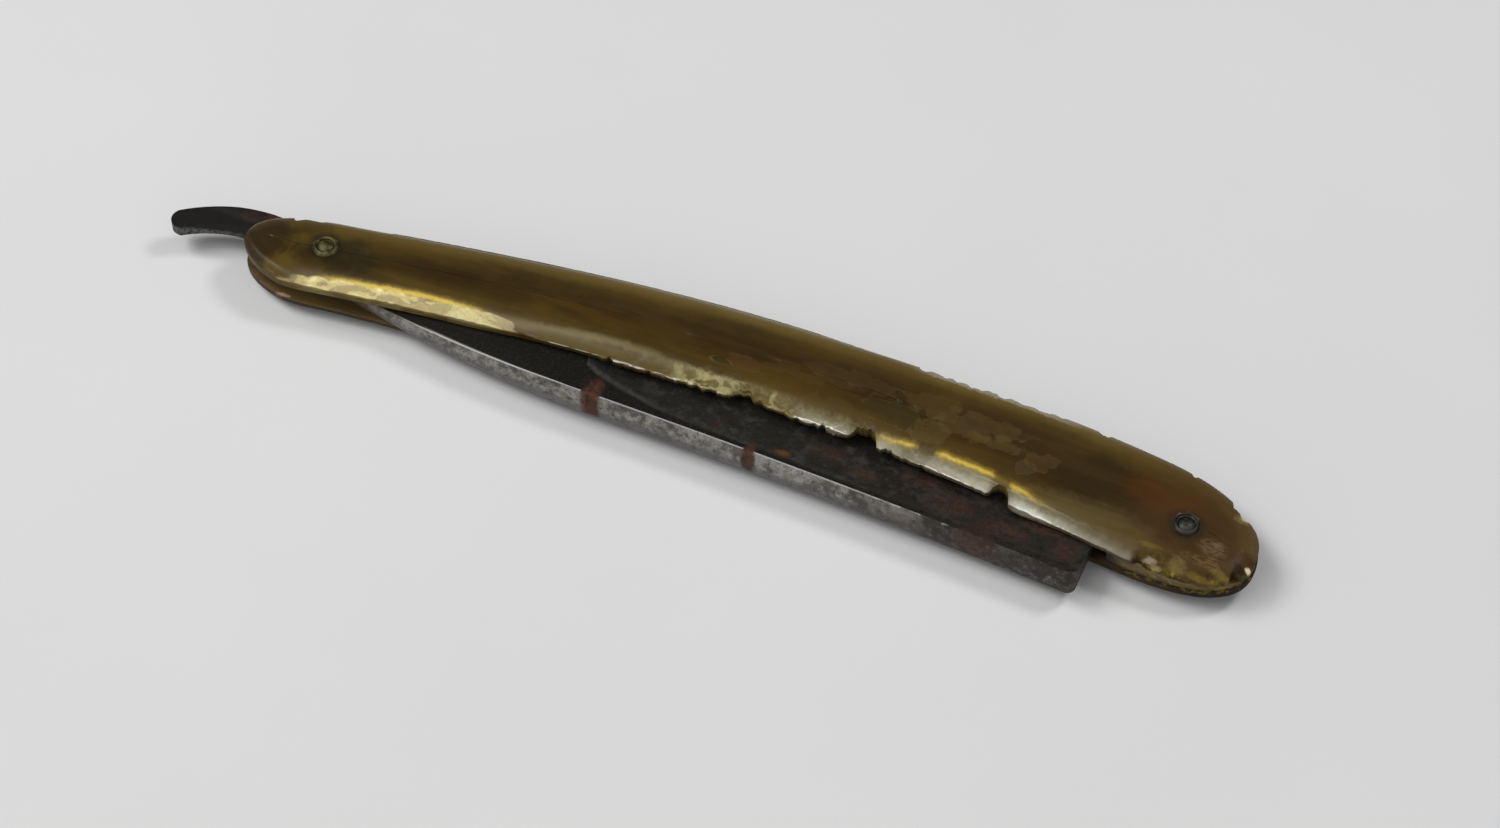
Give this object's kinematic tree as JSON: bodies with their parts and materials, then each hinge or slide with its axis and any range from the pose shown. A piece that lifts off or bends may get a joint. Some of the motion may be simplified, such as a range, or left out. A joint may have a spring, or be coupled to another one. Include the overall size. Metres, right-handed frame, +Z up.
{
  "type": "folding razor knife",
  "caption": "Folding straight razor: a hollow-ground steel blade with a curved tail, pivoted between two bowed horn scales that a wedge and pin close at the other end.",
  "frame": {"origin": "middle of the closed razor's bounding box, on its bottom plane, where the worn face of the back scale rests", "axes": "+X from the tail to the wedge end, +Y from the blade's spine to its cutting edge, +Z up from the back scale to the front scale, square to both scales"},
  "size_m": [0.1646, 0.026, 0.0092],
  "materials": {
    "blade_steel": "old bright steel gone grey and brown, pitted, with rust spots",
    "dark_horn": "polished translucent horn, mottled brown and gold",
    "pale_horn": "polished translucent horn, mottled brown",
    "wedge_horn": "dark horn filler, dull",
    "pivot_brass": "dull brass with a worn bright rim",
    "wedge_steel": "blackened steel with a worn bright rim"
  },
  "bodies": {
    "handle": {"front_scale": "dark_horn", "back_scale": "pale_horn", "end_wedge": "wedge_horn", "pivot_pin": "pivot_brass", "wedge_pin": "wedge_steel", "front_pivot_collar": "pivot_brass", "back_pivot_collar": "pivot_brass", "front_wedge_collar": "wedge_steel", "back_wedge_collar": "wedge_steel", "front_pivot_washer": "pivot_brass", "back_pivot_washer": "pivot_brass"},
    "blade": {"razor_blade": "blade_steel"}
  },
  "joints": [
    {"name": "blade_pivot", "type": "hinge", "parent": "handle", "child": "blade", "pos_m": [-0.05795, 0.00089, 0.00458], "axis": [0, 0, -1], "range_deg": [0, 320]}
  ]
}
